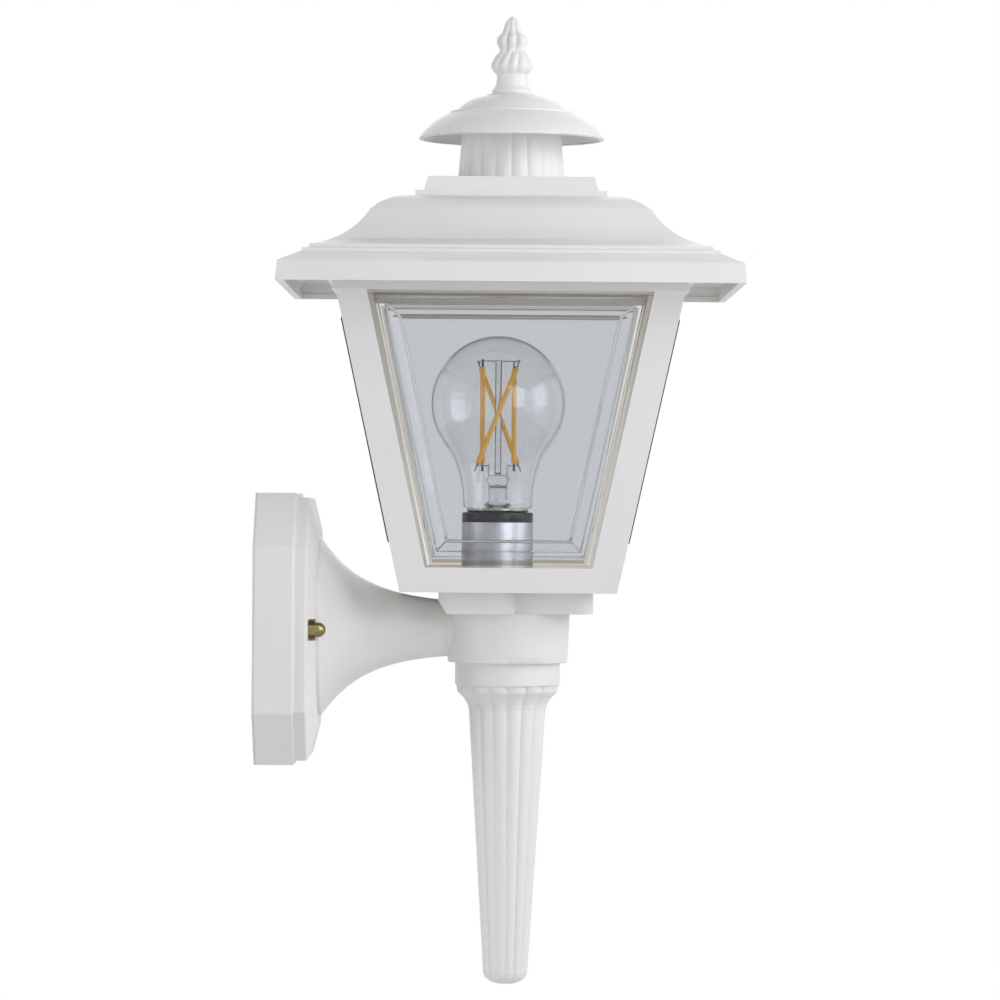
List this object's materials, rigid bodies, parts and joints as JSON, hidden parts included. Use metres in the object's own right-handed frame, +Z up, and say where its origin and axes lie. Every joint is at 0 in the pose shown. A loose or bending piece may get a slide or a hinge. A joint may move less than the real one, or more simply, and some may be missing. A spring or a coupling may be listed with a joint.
{
  "type": "wall coach lantern",
  "caption": "White moulded coach lantern on a trumpet arm with a clipped-corner backplate, tapered glazed cage, square swept roof, hood, flame finial, reeded tail and a screw-in bulb.",
  "frame": {"origin": "on the wall, at the centre of the backplate's rear face, in line with the arm's axis", "axes": "+X out from the wall along the arm, +Z up along the lantern's axis"},
  "size_m": [0.2133, 0.2026, 0.4349],
  "materials": {
    "white_moulding": "satin moulded white",
    "foam": "closed-cell foam",
    "zinc_steel": "zinc plated",
    "ground_green": "green dyed zinc",
    "brass": "polished brass plate",
    "clear_acrylic": "clear moulded acrylic",
    "black_phenolic": "moulded phenolic",
    "foil": "bright foil",
    "lamp_glass": "clear blown glass",
    "nickel": "nickel plated",
    "amber_phosphor": "phosphor-filled silicone",
    "circuit_board": "glass-fibre board",
    "solder": "solder"
  },
  "bodies": {
    "lantern": {"wall_gasket": "foam", "crossbar": "zinc_steel", "crossbar_studs": "zinc_steel", "stud_locknuts": "zinc_steel", "ground_screw": "ground_green", "backplate": "white_moulding", "cap_nuts": "brass", "arm": "white_moulding", "arm_screws": "zinc_steel", "hub": "white_moulding", "saddle": "white_moulding", "tail": "white_moulding", "nipple": "zinc_steel", "nipple_nuts": "zinc_steel", "nipple_washer": "zinc_steel", "cage": "white_moulding", "panel_front": "clear_acrylic", "panel_outer": "clear_acrylic", "panel_back": "clear_acrylic", "panel_wall_side": "clear_acrylic", "lamp_bracket": "zinc_steel", "holder_screw": "zinc_steel", "lampholder_body": "black_phenolic", "lampholder_sleeve": "foil", "screw_shell": "brass", "contact_tongue": "brass"},
    "bulb_tip": {"bulb_contact": "solder"},
    "bulb": {"bulb_insulator": "black_phenolic", "bulb_cap": "nickel", "bulb_driver": "circuit_board", "bulb_glass": "lamp_glass", "bulb_stem": "lamp_glass", "bulb_filaments": "amber_phosphor", "bulb_leads": "nickel"},
    "roof": {"roof": "white_moulding", "chimney": "white_moulding", "hood": "white_moulding", "finial": "white_moulding", "clamp_bar": "zinc_steel", "finial_stud": "zinc_steel", "finial_stud_nut": "zinc_steel"}
  },
  "joints": [
    {"name": "roof_lift", "type": "slide", "parent": "lantern", "child": "roof", "axis": [0, 0, 1], "range_m": [0, 0.08]},
    {"name": "bulb_rise", "type": "slide", "parent": "lantern", "child": "bulb_tip", "axis": [0, 0, 1], "range_m": [0, 0.0182]},
    {"name": "bulb_turn", "type": "hinge", "parent": "bulb_tip", "child": "bulb", "pos_m": [0.107, 0, 0.0365], "axis": [0, 0, 1], "range_deg": [0, 1800]}
  ],
  "couplings": [
    {"joint": "bulb_rise", "follows": "bulb_turn", "m_per_rad": 0.00057757}
  ]
}
